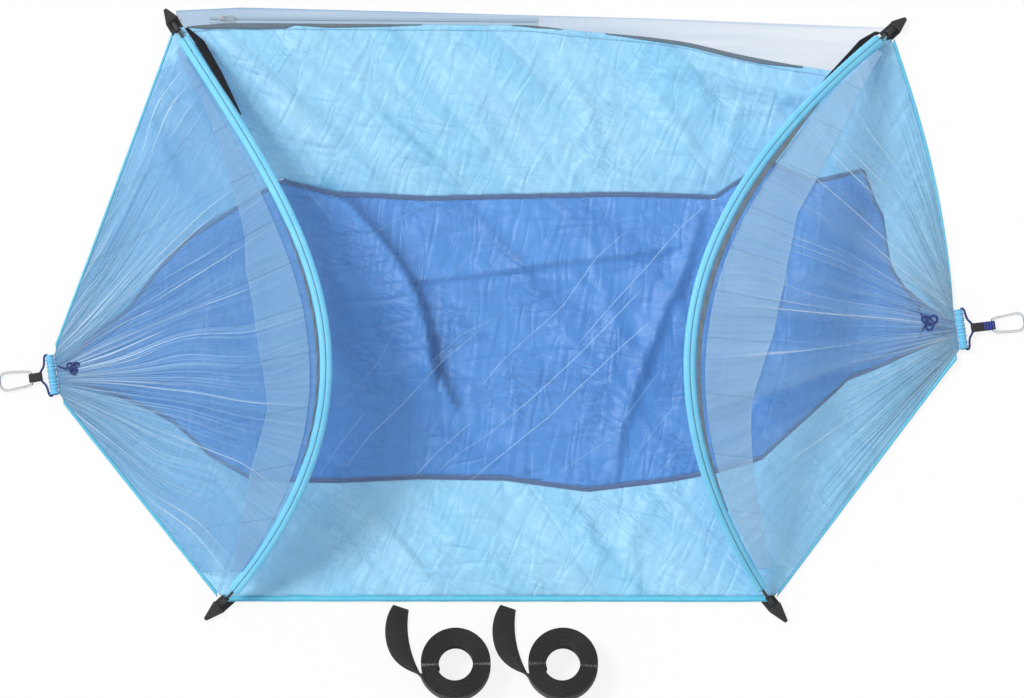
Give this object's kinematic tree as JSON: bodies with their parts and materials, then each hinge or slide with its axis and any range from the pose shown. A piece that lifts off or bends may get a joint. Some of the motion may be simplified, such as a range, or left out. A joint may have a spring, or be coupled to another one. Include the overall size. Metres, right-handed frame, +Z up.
{
  "type": "hammock tent",
  "caption": "Camping hammock laid open, with bent poles in sleeves that lift an insect net over the bed, end carabiners and rolled tree straps.",
  "frame": {"origin": "on the floor under the middle of the whole object's box", "axes": "+X from the left tree end to the right tree end, +Y from the front hem to the zipped back hem, +Z up"},
  "size_m": [2.0558, 1.402, 0.2817],
  "materials": {
    "light_blue_nylon": "thin crinkled nylon with a slight sheen",
    "dark_blue_nylon": "thin crinkled nylon with a slight sheen",
    "cyan_nylon": "nylon binding and sleeves, brighter than the bed",
    "seam_tape": "dark grey triple-stitched tape",
    "netting": "fine white mosquito netting, see-through",
    "black_webbing": "woven black webbing",
    "navy_cord": "braided navy cord",
    "fibreglass": "pultruded fibreglass rod",
    "ferrule_metal": "drawn tube",
    "black_plastic": "moulded nylon",
    "steel": "polished zinc-plated steel",
    "zip_metal": "nickel-plated zip metal"
  },
  "bodies": {
    "hammock": {"bed_center_panel": "dark_blue_nylon", "bed_back_panel": "light_blue_nylon", "bed_front_panel": "light_blue_nylon", "seam_tape_back": "seam_tape", "seam_tape_front": "seam_tape", "hem_back": "cyan_nylon", "hem_front": "cyan_nylon", "hem_left_back": "cyan_nylon", "hem_left_front": "cyan_nylon", "hem_right_back": "cyan_nylon", "hem_right_front": "cyan_nylon", "zip_tape": "seam_tape", "zip_coil": "seam_tape", "net_end_left": "netting", "net_end_right": "netting", "net_flap_left": "netting", "net_flap_right": "netting", "net_roof_left": "netting", "net_roof_right": "netting", "end_channel_left": "cyan_nylon", "end_channel_right": "cyan_nylon", "gather_cord_left": "navy_cord", "gather_cord_right": "navy_cord", "webbing_loop_left": "black_webbing", "webbing_loop_right": "black_webbing", "pocket_left_back": "black_webbing", "pocket_left_front": "black_webbing", "pocket_right_back": "black_webbing", "pocket_right_front": "black_webbing"},
    "arch_left": {"sleeve_left": "cyan_nylon", "pole_left_1": "fibreglass", "pole_left_2": "fibreglass", "pole_left_3": "fibreglass", "ferrule_left_1": "ferrule_metal", "ferrule_left_2": "ferrule_metal", "pole_tip_left_back": "black_plastic", "pole_tip_left_front": "black_plastic"},
    "carabiner_left": {"carabiner_left": "steel", "gate_rivet_left": "steel"},
    "gate_left": {"carabiner_gate_left": "steel"},
    "strap_left": {"strap_roll_left": "black_webbing"},
    "arch_right": {"sleeve_right": "cyan_nylon", "pole_right_1": "fibreglass", "pole_right_2": "fibreglass", "pole_right_3": "fibreglass", "ferrule_right_1": "ferrule_metal", "ferrule_right_2": "ferrule_metal", "pole_tip_right_back": "black_plastic", "pole_tip_right_front": "black_plastic"},
    "carabiner_right": {"carabiner_right": "steel", "gate_rivet_right": "steel"},
    "gate_right": {"carabiner_gate_right": "steel"},
    "strap_right": {"strap_roll_right": "black_webbing"},
    "zip_slider": {"zip_slider": "zip_metal", "zip_bridge": "zip_metal"},
    "zip_pull": {"zip_pull": "zip_metal"}
  },
  "joints": [
    {"name": "arch_left_lean", "type": "hinge", "parent": "hammock", "child": "arch_left", "pos_m": [-0.63059, 0.0831, 0.0073], "axis": [0.0843, -0.9964, 0], "range_deg": [-20, 45], "deforming": ["net_end_left", "net_flap_left", "net_roof_left"]},
    {"name": "carabiner_left_swing", "type": "hinge", "parent": "hammock", "child": "carabiner_left", "pos_m": [-0.96118, -0.0493, 0.0055], "axis": [-0.1392, 0.9903, 0], "range_deg": [0, 120]},
    {"name": "gate_left_open", "type": "hinge", "parent": "carabiner_left", "child": "gate_left", "pos_m": [-0.97095, -0.06602, 0.0055], "axis": [0, 0, -1], "range_deg": [0, 25], "stiffness_Nm_per_rad": 0.02, "springref_deg": -20.05},
    {"name": "strap_left_lift", "type": "slide", "parent": "hammock", "child": "strap_left", "axis": [0, 0, 1], "range_m": [0, 0.3]},
    {"name": "arch_right_lean", "type": "hinge", "parent": "hammock", "child": "arch_right", "pos_m": [0.64241, 0.07711, 0.0073], "axis": [0.2058, 0.9786, 0], "range_deg": [-20, 45], "deforming": ["net_end_right", "net_flap_right", "net_roof_right"]},
    {"name": "carabiner_right_swing", "type": "hinge", "parent": "hammock", "child": "carabiner_right", "pos_m": [0.96118, 0.05807, 0.0055], "axis": [0.1392, -0.9903, 0], "range_deg": [0, 120]},
    {"name": "gate_right_open", "type": "hinge", "parent": "carabiner_right", "child": "gate_right", "pos_m": [0.97095, 0.07479, 0.0055], "axis": [0, 0, -1], "range_deg": [0, 25], "stiffness_Nm_per_rad": 0.02, "springref_deg": -20.05},
    {"name": "strap_right_lift", "type": "slide", "parent": "hammock", "child": "strap_right", "axis": [0, 0, 1], "range_m": [0, 0.3]},
    {"name": "zip_slide", "type": "slide", "parent": "hammock", "child": "zip_slider", "axis": [1, -0.0081, 0], "range_m": [0, 0.605]},
    {"name": "zip_pull_flip", "type": "hinge", "parent": "zip_slider", "child": "zip_pull", "pos_m": [-0.58315, 0.68504, 0.0087], "axis": [-0.0081, -1, 0], "range_deg": [0, 165]}
  ]
}
